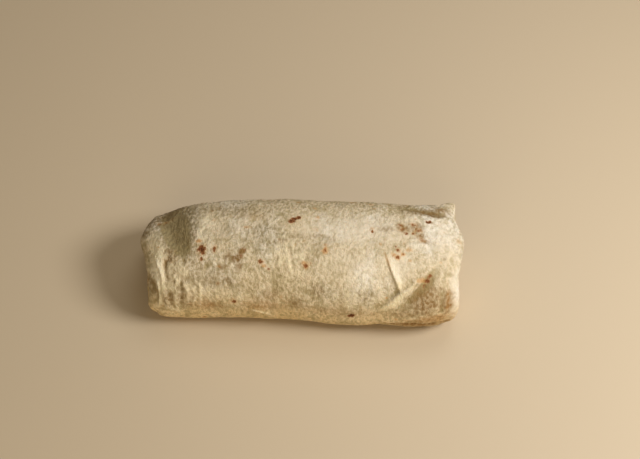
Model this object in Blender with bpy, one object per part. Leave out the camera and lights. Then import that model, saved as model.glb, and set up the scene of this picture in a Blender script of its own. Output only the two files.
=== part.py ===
"""A whole burrito: one flour tortilla rolled round its filling, ends tucked in.

It lies along X on its seam, with its front toward -Y, on the plane z = 0.
The body is one closed solid: a loft of rounded sections along X, closed at both
ends by the tucked faces. "Angle" below goes round the roll: 0 is the top, 90
the front, 180 the underside and 270 the back.
"""
import math

import bmesh
import bpy
import numpy as np

MM = 0.001

# ---------------------------------------------------------------- sizes (metres)
LEFT_REACH = 92 * MM            # from the middle of the roll to the left tip
RIGHT_REACH = 97 * MM           # and to the right tip
LAYER = 1.9 * MM                # one thickness of tortilla
HEM = 4.0 * MM                  # a folded edge at an end: two layers
WIDEST = 0.39                   # height of the widest point, as a share of the height
TOP_POWER = 2.35                # roundness of the upper half of a section (2 = ellipse)
BASE_POWER = 3.1                # the lower half is squarer, as it is pressed flat
SAG = 2.6 * MM                  # how far the underside is pressed flat

# Sections: place along X, half width, height, shift of the middle toward the back
SECTIONS = tuple(tuple(value * MM for value in row) for row in (
    (-90, 33.0, 41.2, -4.2),
    (-70, 34.8, 48.2, -1.4),
    (-35, 35.8, 53.5, 0.2),
    (0, 36.6, 55.0, 0.4),
    (35, 36.9, 54.8, -1.9),
    (70, 37.3, 54.0, -1.9),
    (92, 38.2, 52.0, -1.8),
))
SECTION_BLEND = 14 * MM         # distance over which one section passes into the next

# The tucked ends
LEFT_POWER = 8.0                # squareness of the left end, seen from above
RIGHT_POWER = 8.0
LEFT_SLANT = 0.13               # the left end reaches further at the back
RIGHT_LEAN = 0.10               # the right end reaches further at the top
# How much further than that each end reaches, by angle round the roll
LEFT_BULGE = ((-180, 0.0), (-90, 0.0), (-62, -1.8), (-42, 0.2), (-26, 2.6), (-8, 1.4), (16, -0.6),
              (42, -1.1), (48, -0.6), (80, -1.2), (104, 0.4), (125, 0.6), (180, 0.0))
RIGHT_BULGE = ((-180, 0.0), (-95, 0.0), (-66, -2.2), (-50, -4.4), (-32, -2.8), (-18, 0.2), (-8, 0.8),
               (4, 0.1), (14, -0.8), (42, -2.6), (58, -1.5), (78, 0.4), (100, 1.8), (125, 1.0), (180, 0.0))
BULGE_REACH = 16 * MM           # how far from an end its bulges fade out
EAR_HEIGHT = 3.2 * MM           # the folded corner that stands up at the back of the right end
EAR_ANGLE = -58.0
EAR_SPREAD = 13.0
EAR_SHARPNESS = 0.75            # 0 is as round as the rest of the end, 1 is a square corner
GROOVE_DEPTH = 1.5 * MM         # the line between two turns on an end
GROOVE_WIDTH = 1.3 * MM
POUCH_DEPTH = 3.0 * MM          # the middle of an end is pulled in
TURNS_SEEN = 1.6                # turns of the spiral that an end shows
PUCKER_DEPTH = 1.0 * MM         # radial tucks round the pulled-in middle

# The free edge of the tortilla: its angle at the middle, and at each end, in degrees
LIP_MIDDLE = 148.0
LIP_LEFT = 134.0
LIP_RIGHT = 99.0
LIP_NOTCH = 2.4 * MM            # depth of the crease under the free edge
LIP_NOTCH_SHARE = 0.014         # and its width, as a share of a turn

GIRTH = 0.65                    # millimetres round the roll to one degree

# Mesh steps
COLUMNS = 78                    # round the roll
RINGS = 62                      # along it, tip to tip
END_SHARE = 2.2                 # rings lie this many times closer at the ends

TORTILLA_COLOUR = (0.62, 0.47, 0.27)

# Creases: a path of (x, angle, height), then the width on its left and on its right,
# seen along the path. A negative height is a valley. All in millimetres and degrees.
CREASES = (
    # the pleat on the right of the front, the slanted fold under it and the deep valley beside them
    (((51.6, 20, 0.0), (52.8, 27, 0.5), (54.2, 34, 0.9), (56.4, 43, 1.2), (58.4, 50, 1.3), (59.7, 55.5, 1.2)),
     1.6, 4.2),
    (((68.5, 51, 0.0), (62.6, 58.5, 1.2), (57.3, 66, 1.3), (52, 75, 0.8), (45, 85, 0.0)), 2.0, 3.8),
    (((82, 31, 0.0), (78.5, 39, -1.1), (74, 52, -1.8), (67.9, 64, -1.4), (60, 84, 0.0)), 2.4, 3.8),
    # the folded back corner on the right
    (((52, -44, 0.0), (60, -41, -0.5), (66, -38, -0.9), (74, -34, -1.5), (80, -31, -1.5), (86, -34, -0.5)),
     2.8, 3.4),
    # the sunk facet at the upper left, with its crest on the right and its fold on the left
    (((-80, -60, -0.8), (-79, -36, -1.9), (-77, -13, -2.9), (-74, 4, -3.1), (-69, 20, -1.8), (-64, 34, -0.4)),
     4.2, 10.0),
    (((-51, -40, 0.1), (-56, -10, 0.6), (-59, 12, 0.7), (-61, 26, 0.2)), 5.0, 7.0),
    (((-86, -38, 0.4), (-83.5, -34, 1.0), (-78, -31, 0.9), (-73, -30, 0.0)), 2.0, 2.4),
    # the lobe at the left end, its hem, and wrinkles round the roll beside it
    (((-84, -22, 0.4), (-84, 0, 1.4), (-83, 22, 1.6), (-83.5, 38, 1.4), (-84, 54, 0.6), (-85, 66, 0.2)),
     3.4, 4.2),
    (((-92, 34, 0.2), (-88.2, 46, 0.5), (-85, 57, 0.9), (-83.8, 72, 1.0), (-85.6, 84, 0.7), (-88.6, 95, 0.2)),
     1.8, 2.2),
    (((-76.4, 60, 0.0), (-75.4, 68, -0.7), (-75.8, 80, -0.6), (-74.6, 88, 0.0)), 2.4, 2.4),
    (((-66, 58, 0.1), (-64.2, 66, 0.8), (-64.8, 76, 0.7), (-63, 82, 0.0)), 2.4, 2.4),
    # the back
    (((-40, -70, 0.0), (-30, -82, -0.7), (-22, -98, 0.0)), 3.0, 3.2),
    (((52, -74, 0.0), (58, -92, 0.9), (60, -112, 0.2)), 2.4, 3.4),
)


def smooth(edge_0, edge_1, value):
    """0 below edge_0, 1 above edge_1, and an S between them."""
    t = np.clip((value - edge_0) / (edge_1 - edge_0), 0.0, 1.0)
    return t * t * (3.0 - 2.0 * t)


def bell(value, width):
    return np.exp(-(value / width) ** 2)


def blended(column, x):
    """One value of SECTIONS at the places x, with its corners rounded off."""
    places = [row[0] for row in SECTIONS]
    values = [row[column] for row in SECTIONS]
    offsets = np.linspace(-1.0, 1.0, 9)
    weights = np.cos(offsets * math.pi / 2.2)
    total = sum(w * np.interp(x + o * SECTION_BLEND, places, values)
                for o, w in zip(offsets, weights))
    return total / weights.sum()


def lip_angle(x):
    """Where the free edge lies, in degrees."""
    rightward = smooth(-12 * MM, 70 * MM, x)
    leftward = smooth(10 * MM, 92 * MM, -x)
    return LIP_MIDDLE + (LIP_RIGHT - LIP_MIDDLE) * rightward + (LIP_LEFT - LIP_MIDDLE) * leftward


def profile(count):
    """Rings from the left tip to the right one: place along X, and scale 1 .. 0."""
    t = np.linspace(-math.pi / 2, math.pi / 2, 4001)
    along, inward = np.abs(np.sin(t)), np.cos(t)
    power = np.where(t < 0.0, LEFT_POWER, RIGHT_POWER)
    reach = np.where(t < 0.0, LEFT_REACH, RIGHT_REACH)
    radius = (along ** power + inward ** power) ** (-1.0 / power)
    x = np.sign(t) * along * radius * reach
    scale = inward * radius
    half_width = SECTIONS[3][1]
    steps = np.hypot(np.diff(x), np.diff(scale) * half_width)
    nearness = 1.0 + (END_SHARE - 1.0) * smooth(0.80, 0.90, np.abs(x / reach))
    length = np.concatenate([[0.0], np.cumsum(steps * nearness[1:])])
    wanted = np.linspace(0.0, length[-1], count + 2)[1:-1]
    return np.interp(wanted, length, x), np.interp(wanted, length, scale)


def section_radius(x, angle):
    """Distance from a section's middle to its outline, before folds and layers."""
    half_width, height = blended(1, x), blended(2, x)
    across, upward = np.abs(np.sin(angle)), np.cos(angle)
    above = upward >= 0.0
    reach = np.where(above, (1.0 - WIDEST) * height, WIDEST * height + SAG)
    power = np.where(above, TOP_POWER, BASE_POWER)
    total = (across / half_width) ** power + (np.abs(upward) / reach) ** power
    return total ** (-1.0 / power)


def crease_height(x, degrees, path, left, right):
    """Height of one crease at (x, degrees), in metres: a bell across its path."""
    across = degrees * GIRTH
    nearest = np.full(x.shape, 1e9)
    side = np.zeros(x.shape)
    height = np.zeros(x.shape)
    for start, end in zip(path, path[1:]):
        run_x, run_round = end[0] - start[0], (end[1] - start[1]) * GIRTH
        length = math.hypot(run_x, run_round)
        from_x, from_round = x / MM - start[0], across - start[1] * GIRTH
        share = np.clip((from_x * run_x + from_round * run_round) / length ** 2, 0.0, 1.0)
        gap_x, gap_round = from_x - share * run_x, from_round - share * run_round
        gap = np.hypot(gap_x, gap_round)
        closer = gap < nearest
        nearest = np.where(closer, gap, nearest)
        side = np.where(closer, from_x * run_round - from_round * run_x, side)
        height = np.where(closer, start[2] + share * (end[2] - start[2]), height)
    width = np.where(side < 0.0, left, right)
    return height * MM * bell(nearest, width)


def folds(x, degrees):
    wrapped = (degrees + 180.0) % 360.0 - 180.0
    x = np.broadcast_to(x, wrapped.shape)
    total = np.zeros(wrapped.shape)
    for path, left, right in CREASES:
        total += crease_height(x, wrapped, path, left, right)
    return total


def end_relief(x, scale, radius, turn):
    """How far an end face is sunk at a point: hems, pulled-in middle and tucks."""
    inset = radius * (1.0 - scale)
    sunk = POUCH_DEPTH * smooth(2 * HEM, 4.5 * HEM, inset)
    for lap in range(3):
        gone = lap + turn
        seen = 1.0 - smooth(TURNS_SEEN - 0.3, TURNS_SEEN, gone)
        started = smooth(0.0, 0.12, gone)
        sunk = sunk + GROOVE_DEPTH * seen * started * bell(inset - HEM * gone, GROOVE_WIDTH)
    around = 2.0 * math.pi * turn + np.sign(x)
    tucks = 0.5 + 0.3 * np.cos(5.0 * around) + 0.2 * np.cos(8.0 * around + 2.0)
    ring = smooth(2.4 * HEM, 3.6 * HEM, inset) * smooth(0.1, 0.35, scale)
    return sunk + PUCKER_DEPTH * tucks * ring


def bulge(x, degrees):
    """How much further an end reaches toward that side, in metres."""
    wrapped = (degrees + 180.0) % 360.0 - 180.0
    total = np.zeros(np.broadcast(x, degrees).shape)
    for sign, reach, table in ((-1.0, LEFT_REACH, LEFT_BULGE), (1.0, RIGHT_REACH, RIGHT_BULGE)):
        angles, sizes = zip(*table)
        rounded = sum(np.interp((wrapped + offset + 180.0) % 360.0 - 180.0, angles, sizes)
                      for offset in (-8.0, -4.0, 0.0, 4.0, 8.0)) / 5.0
        total = total + rounded * MM * smooth(reach - BULGE_REACH, reach, sign * x)
    return total


def burrito_points():
    """A grid of points, rings by columns; turn 0 and 1 are the two sides of the free edge."""
    ring_x, ring_scale = profile(RINGS)
    turn = np.linspace(0.0, 1.0, COLUMNS)[None, :]
    x, scale = ring_x[:, None], ring_scale[:, None]
    degrees = lip_angle(x) + 360.0 * turn
    angle = np.radians(degrees)

    radius = section_radius(x, angle)
    thickness = LAYER * (1.0 + 0.4 * smooth(35 * MM, 75 * MM, -x) - 0.55 * smooth(25 * MM, 60 * MM, x))
    radius = radius - thickness * (1.0 - turn) ** 2.2
    wrapped = (degrees + 180.0) % 360.0 - 180.0
    ear = bell(wrapped - EAR_ANGLE, EAR_SPREAD)
    radius = radius + EAR_HEIGHT * ear * smooth(82 * MM, 95 * MM, x)
    radius = radius - LIP_NOTCH * bell(turn, LIP_NOTCH_SHARE) * smooth(0.5, 0.9, scale)
    radius = radius + folds(x, degrees) * smooth(0.45, 0.95, scale)

    height = blended(2, x)
    out = radius * scale ** (1.0 - EAR_SHARPNESS * ear * (x > 0.0))
    y = blended(3, x) - out * np.sin(angle)
    z = WIDEST * height + out * np.cos(angle)

    inward = end_relief(x, scale, radius, turn) * (1.0 - smooth(0.93, 0.995, scale))
    near_end = smooth(0.5, 1.0, np.abs(x) / RIGHT_REACH)
    lean = np.where(x < 0.0, -LEFT_SLANT * (y - blended(3, x)),
                    RIGHT_LEAN * (z - WIDEST * height)) * near_end
    along = x + np.sign(x) * (bulge(x, degrees) - inward) + lean
    points = np.stack([along, y, np.maximum(z, 0.0)], axis=-1)
    middle = (points.min(axis=(0, 1)) + points.max(axis=(0, 1))) / 2.0
    middle[2] = 0.0
    return points - middle


def loft(name, points):
    """A closed mesh object through rings of points, with a point at each tip."""
    mesh = bmesh.new()
    rings = [[mesh.verts.new(point) for point in ring] for ring in points]
    for ring, after in zip(rings, rings[1:]):
        for column in range(len(ring)):
            beside = (column + 1) % len(ring)
            mesh.faces.new((ring[column], after[column], after[beside], ring[beside]))
    for ring in (rings[0], rings[-1]):
        tip = mesh.verts.new(sum((v.co for v in ring), start=ring[0].co * 0.0) / len(ring))
        for column in range(len(ring)):
            mesh.faces.new((ring[column], ring[(column + 1) % len(ring)], tip))
    bmesh.ops.triangulate(mesh, faces=mesh.faces)
    bmesh.ops.recalc_face_normals(mesh, faces=mesh.faces)
    data = bpy.data.meshes.new(name)
    mesh.to_mesh(data)
    mesh.free()
    return bpy.data.objects.new(name, data)


def plain_material(name, colour, roughness):
    material = bpy.data.materials.new(name)
    material.use_nodes = True
    shader = material.node_tree.nodes["Principled BSDF"]
    shader.inputs["Base Color"].default_value = (*colour, 1.0)
    shader.inputs["Roughness"].default_value = roughness
    shader.inputs["Metallic"].default_value = 0.0
    return material


def main():
    for thing in list(bpy.data.objects):
        bpy.data.objects.remove(thing)
    collection = bpy.data.collections.new("burrito")
    bpy.context.scene.collection.children.link(collection)
    roll = loft("burrito_roll", burrito_points())
    roll.data.materials.append(plain_material("toasted_tortilla", TORTILLA_COLOUR, 0.7))
    collection.objects.link(roll)


main()
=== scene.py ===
"""The looks of a whole burrito: the rolled tortilla, in detail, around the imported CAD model.

The roll lies along X on its seam, with its front toward -Y. A place on it is given
by x, in millimetres from the middle, and by an angle in degrees round the roll:
0 is the top, 90 the front, 180 the underside and -90 the back.
"""
import itertools
import math

import bmesh
import bpy
import numpy as np
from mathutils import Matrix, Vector


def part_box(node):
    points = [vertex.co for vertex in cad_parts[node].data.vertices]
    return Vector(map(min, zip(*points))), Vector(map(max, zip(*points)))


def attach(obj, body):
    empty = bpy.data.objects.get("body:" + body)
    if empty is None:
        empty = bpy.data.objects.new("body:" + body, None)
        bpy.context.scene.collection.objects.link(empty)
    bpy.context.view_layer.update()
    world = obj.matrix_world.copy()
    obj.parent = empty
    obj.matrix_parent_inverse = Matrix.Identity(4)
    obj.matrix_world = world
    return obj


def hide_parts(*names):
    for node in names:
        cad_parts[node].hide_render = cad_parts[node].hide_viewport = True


MM = 0.001
NODE = "burrito_roll"

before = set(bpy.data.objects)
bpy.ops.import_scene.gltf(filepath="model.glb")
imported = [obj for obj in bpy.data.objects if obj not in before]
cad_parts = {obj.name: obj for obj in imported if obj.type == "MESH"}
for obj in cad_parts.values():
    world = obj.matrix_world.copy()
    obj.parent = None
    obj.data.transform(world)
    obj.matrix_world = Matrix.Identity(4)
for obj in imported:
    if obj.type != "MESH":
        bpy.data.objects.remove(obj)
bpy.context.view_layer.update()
low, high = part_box(NODE)
MIDDLE = (low + high) / 2.0

# ---------------------------------------------------------------- the roll, as in the CAD model
LEFT_REACH = 92 * MM            # from the middle of the roll to the left tip
RIGHT_REACH = 97 * MM           # and to the right tip
LAYER = 1.9 * MM                # one thickness of tortilla
HEM = 4.0 * MM                  # a folded edge at an end: two layers
WIDEST = 0.39                   # height of the widest point, as a share of the height
TOP_POWER = 2.35                # roundness of the upper half of a section (2 = ellipse)
BASE_POWER = 3.1                # the lower half is squarer, as it is pressed flat
SAG = 2.6 * MM                  # how far the underside is pressed flat

# Sections: place along X, half width, height, shift of the middle toward the back
SECTIONS = tuple(tuple(value * MM for value in row) for row in (
    (-90, 33.0, 41.2, -4.2),
    (-70, 34.8, 48.2, -1.4),
    (-35, 35.8, 53.5, 0.2),
    (0, 36.6, 55.0, 0.4),
    (35, 36.9, 54.8, -1.9),
    (70, 37.3, 54.0, -1.9),
    (92, 38.2, 52.0, -1.8),
))
SECTION_BLEND = 14 * MM         # how far each way the values between sections are averaged

END_POWER = 8.0                 # squareness of both ends, seen from above
LEFT_SLANT = 0.13               # the left end reaches further at the back
RIGHT_LEAN = 0.10               # the right end reaches further at the top
LEAN_START = (0.5, 1.0)         # shares of the reach where both begin, and are whole
# How much further than that each end reaches, in millimetres, by angle round the roll
LEFT_BULGE = (
    (-180, 0.0), (-90, 0.0), (-62, -1.8), (-42, 0.2), (-26, 2.6), (-8, 1.4), (16, -0.6),
    (42, -1.1), (48, -0.6), (80, -1.2), (104, 0.4), (125, 0.6), (180, 0.0),
)
RIGHT_BULGE = (
    (-180, 0.0), (-95, 0.0), (-66, -2.2), (-50, -4.4), (-32, -2.8), (-18, 0.2), (-8, 0.8), (4, 0.1),
    (14, -0.8), (42, -2.6), (58, -1.5), (78, 0.4), (100, 1.8), (125, 1.0), (180, 0.0),
)
BULGE_REACH = 16 * MM           # how far from an end its bulges fade out
BULGE_BLEND = (-8.0, -4.0, 0.0, 4.0, 8.0)   # degrees over which a bulge is averaged
EAR_HEIGHT = 3.2 * MM           # the folded corner that stands up at the back of the right end
EAR_ANGLE = -58.0               # degrees
EAR_SPREAD = 13.0               # degrees to each side
EAR_START = 82 * MM             # along X, where the corner begins to rise
EAR_TOP = 95 * MM               # and where it has its full height
EAR_SHARPNESS = 0.75            # 0 is as round as the rest of the end, 1 is a square corner
GROOVE_DEPTH = 1.5 * MM         # the line between two turns on an end
GROOVE_WIDTH = 1.0 * MM
POUCH_DEPTH = 3.0 * MM          # the middle of an end is pulled in
TUCK_DEPTH = 1.0 * MM           # the tucks round that middle
POUCH_INSET = (2 * HEM, 4.5 * HEM)      # how far in from the rim it begins, and is whole
TUCK_INSET = (2.4 * HEM, 3.6 * HEM)     # and the same for the tucks
TURNS_SEEN = 1.6                # turns of the spiral that an end shows
SPIRAL_FADE = 0.3               # turns over which it ends
SPIRAL_START = 0.12             # turns over which it begins
# The scale of a ring is 1 on the sides of the roll and falls to 0 at the tip of an end
RIM_SCALES = (0.93, 0.995)      # between these the relief of the end face fades out
BODY_SCALES = (0.45, 0.95)      # between these the relief of the sides fades in
NOTCH_SCALES = (0.5, 0.9)       # and the crease under the free edge
TIP_SCALES = (0.1, 0.35)        # and the tucks, which leave the tip smooth

# The free edge of the tortilla: its angle at the middle, and at each end, in degrees
LIP_MIDDLE = 148.0
LIP_LEFT = 134.0
LIP_RIGHT = 99.0
LIP_NOTCH = 2.4 * MM            # depth of the crease under the free edge
LIP_NOTCH_SHARE = 0.008         # and its width, as a share of a turn
LIP_ROUNDING_SHARE = 0.003      # width of the rounded edge of the outer layer, the same way
LIP_TO_RIGHT = (-12 * MM, 70 * MM)      # along X, over which it passes to the one at the right
LIP_TO_LEFT = (10 * MM, 92 * MM)        # and the same toward the left
LEFT_THICKENING = 0.4           # share by which the layer is thicker at the left
THICK_START = (35 * MM, 75 * MM)        # toward the left, where that begins, and is whole
RIGHT_THINNING = 0.55           # share by which it is thinner at the right
THIN_START = (25 * MM, 60 * MM)         # and the same toward the right
WRAP_POWER = 2.2                # how soon the step of the free edge fades round the roll
SOLE_ROUNDING = 0.6             # millimetres above the floor where the underside is eased flat

GIRTH = 0.65                    # millimetres round the roll to one degree

# ---------------------------------------------------------------- detail of the mesh
RINGS = 300                     # from the left tip to the right one
COLUMNS = 304                   # once round
SPACING_SAMPLES = 8001          # fine steps from which the places of the rings are taken
TURN_SAMPLES = 4001             # and those of the columns
# How much closer together than elsewhere the rings and the columns are
LEFT_CLOSENESS = 0.35           # rings at the gathered left end
LEFT_CLOSE_START = (0.55, 0.62)         # as shares of its reach
END_FACE_THINNING = 0.35        # rings on the end faces, which are further apart
END_FACE_SCALES = (0.7, 0.4)            # the scales of a ring where that begins, and is whole
PLEAT_CLOSENESS = 0.9           # rings at the sharp pleat
PLEAT_START = (44 * MM, 50 * MM)        # along X
PLEAT_END = (62 * MM, 70 * MM)
LIP_CLOSENESS = 2.5             # columns at the free edge
LIP_CLOSE_SHARE = 0.012         # how far from it, as a share of a turn
FRONT_CLOSENESS = 0.35          # columns on the front
FRONT_START = (0.62, 0.68)              # as shares of a turn from the free edge

# ---------------------------------------------------------------- relief, marks and patches
# Ridges and bumps: the height of each, its length along and round the roll, all in
# millimetres, and the seed of its noise
CREPE_RIDGES = ((0.13, 3.4, 5.4, 61), (0.06, 1.9, 2.8, 71))     # fine relief all over
CREPE_BUMPS = ((0.17, 1.5, 2.0, 33),)
GATHER_RIDGES = ((0.42, 4.4, 11.0, 81), (0.34, 2.5, 6.0, 91))   # where it is gathered
FILLING_LUMPS = ((0.75, 24, 24, 41), (0.4, 11, 13, 42))         # the filling under it
CREPE_STRENGTH = 0.8            # of the fine relief, on average
CREPE_VARIATION = 0.5           # and how much that changes from place to place
CREPE_PATCH = 26                # millimetres to one stronger or weaker place
PAINTED_LIGHT_SMOOTHING = 0.4            # share of the fine relief that the places of painted light lose
CRINKLE_DEPTH = 2.4             # how steeply the height falls from a crest of 1
CRINKLE_BEND = 0.5              # how much the ridges wander
CRINKLE_BEND_SIZE = 2.4         # and over how many times their length along the roll

# Creases: a path of (x, angle, height), then the width on its left and on its right,
# seen along the path. A negative height is a valley. All in millimetres and degrees.
CREASES = (
    # the sharp pleat on the right of the front, raised on its right side
    (((51.6, 20, 0.0), (52.8, 27, 0.5), (54.2, 34, 0.9), (56.4, 43, 1.15), (58.4, 50, 1.3),
      (59.7, 55.5, 1.2)), 0.3, 3.3),
    # the slanted fold under it, sharp at its upper side, with a valley above it
    (((68.5, 51, 0.0), (65.2, 55, 0.8), (62.6, 58.5, 1.2), (59.9, 61.5, 1.35), (57.3, 66, 1.3),
      (54.6, 71, 1.1), (52, 75, 0.8), (48.5, 80, 0.3), (45, 85, 0.0)), 0.4, 3.6),
    (((67, 51.5, 0.0), (62.7, 55.6, -0.5), (59.0, 60, -0.8), (56.3, 64.5, -0.8), (53.6, 69.3, -0.7),
      (50.6, 73.6, -0.5), (46, 80, 0.0)), 2.0, 0.7),
    # the deep valley beside them
    (((82, 31, 0.0), (80, 35, -0.6), (78.5, 39, -1.1), (75.8, 46, -1.6), (74, 52, -1.8),
      (70.5, 58, -1.7), (67.9, 64, -1.4), (65.2, 70, -1.0), (62.6, 77, -0.6), (60, 84, 0.0)),
     1.7, 3.6),
    (((70, 43, 0.0), (68.6, 49, 0.7), (67.6, 54, 0.2)), 0.8, 1.2),
    (((86, 48, 0.0), (85, 62, -0.7), (85.4, 76, -0.9), (85, 92, -0.2)), 2.4, 1.4),
    # the folded back corner on the right
    (((52, -44, 0.0), (60, -41, -0.5), (66, -38, -0.9), (74, -34, -1.5), (80, -31, -1.5),
      (86, -34, -0.5)), 2.2, 3.4),
    # the sunk facet at the upper left, with its crest on the right and its fold on the left
    (((-80, -60, -0.8), (-79, -36, -1.9), (-77, -13, -2.9), (-74, 4, -3.1), (-69, 20, -1.8),
      (-64, 34, -0.4)), 4.2, 10.0),
    (((-51, -40, 0.1), (-56, -10, 0.6), (-59, 12, 0.7), (-61, 26, 0.2)), 5.0, 7.0),
    (((-86, -38, 0.4), (-83.5, -34, 1.0), (-78, -31, 0.9), (-73, -30, 0.0)), 1.2, 1.9),
    # the lobe at the left end and the line of its hem
    (((-84, -22, 0.4), (-84, 0, 1.4), (-83, 22, 1.6), (-83.5, 38, 1.4), (-84, 54, 0.6),
      (-85, 66, 0.2)), 3.4, 4.2),
    (((-92, 34, 0.2), (-88.2, 46, 0.5), (-85.0, 57, 0.9), (-83.8, 72, 1.0), (-85.6, 84, 0.7),
      (-88.6, 95, 0.2)), 0.9, 1.2),
    (((-94, 36, -0.3), (-90.4, 48, -0.9), (-87.4, 60, -1.2), (-86.4, 72, -1.2), (-87.8, 82, -0.9),
      (-90, 92, -0.2)), 1.6, 1.2),
    # wrinkles round the roll near the left end
    (((-86.4, 14, 0.2), (-85.6, 26, 0.8), (-83.8, 38, 0.9), (-81.0, 47, 0.6), (-80.2, 54, 0.0)),
     1.1, 1.3),
    (((-80.6, 62, 0.1), (-79.6, 68, 0.6), (-78.8, 78, 0.8), (-79.2, 88, 0.2)), 1.0, 1.2),
    (((-79.6, 27, -0.2), (-78.6, 36, -0.9), (-79, 48, -0.5), (-78, 62, 0.0)), 1.2, 1.5),
    (((-76.4, 60, 0.0), (-75.4, 68, -0.7), (-75.8, 80, -0.6), (-74.6, 88, 0.0)), 1.8, 1.6),
    (((-72.4, 38, 0.0), (-73.4, 46, 0.6), (-71.2, 54, 0.7), (-71.6, 62, 0.1)), 0.9, 1.2),
    (((-69.0, 50, -0.1), (-68.0, 62, -0.9), (-68.8, 78, -0.7), (-67.6, 90, 0.0)), 1.6, 1.4),
    (((-66.0, 58, 0.1), (-64.2, 66, 0.8), (-64.8, 76, 0.7), (-63.0, 82, 0.0)), 0.9, 1.1),
    (((-56.8, 55, 0.0), (-55.8, 62, 0.6), (-56.4, 72, 0.4), (-55, 82, 0.0)), 0.8, 1.0),
    # slight ridges and a crease on the middle of the front
    (((-56, 34, 0.0), (-50, 41, -0.5), (-44, 46, -0.5), (-34, 46, 0.0)), 1.6, 1.6),
    (((-7.4, 17, 0.0), (-5.4, 28, 0.55), (-2.6, 44, 0.5), (-1.6, 52, 0.0)), 0.7, 0.9),
    (((-2.8, 16, 0.0), (-2.2, 26, 0.5), (0.2, 42, 0.45), (1.4, 50, 0.0)), 0.7, 0.8),
    (((-5.0, 20, 0.0), (-3.8, 28, -0.5), (-1.2, 42, -0.4), (-0.4, 48, 0.0)), 0.8, 0.8),
    (((-11.0, 20, 0.0), (-9.6, 32, 0.45), (-7.6, 44, 0.2)), 0.8, 0.9),
    (((-18, 8, 0.0), (-8, 6, -0.3), (4, 9, 0.0)), 2.0, 1.6),
    # a sliver that peels at the lower edge
    (((-29, 89, 0.0), (-24, 91, 0.7), (-18, 95, 0.7), (-12, 101, 0.0)), 1.2, 0.4),
    # the back
    (((-40, -70, 0.0), (-30, -82, -0.7), (-22, -98, 0.0)), 2.5, 3.0),
    (((20, -62, 0.0), (24, -80, 0.8), (23, -104, 0.0)), 2.2, 1.2),
    (((52, -74, 0.0), (58, -92, 0.9), (60, -112, 0.2)), 1.0, 3.2),
    (((-66, -80, 0.2), (-64, -98, 0.8), (-66, -118, 0.2)), 1.3, 1.5),
)

# Where the tortilla is gathered into crinkles: x, angle, length, width (millimetres), strength
GATHERS = (
    (-76, 58, 30, 46, 0.72),
    (-58, 70, 26, 26, 0.35),
    (-42, 74, 24, 18, 0.35),
    (-3, 30, 22, 30, 0.4),
    (40, 62, 26, 26, 0.3),
    (76, 74, 34, 24, 0.25),
    (-84, -90, 24, 60, 0.8),
    (86, -100, 24, 60, 0.8),
)

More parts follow.
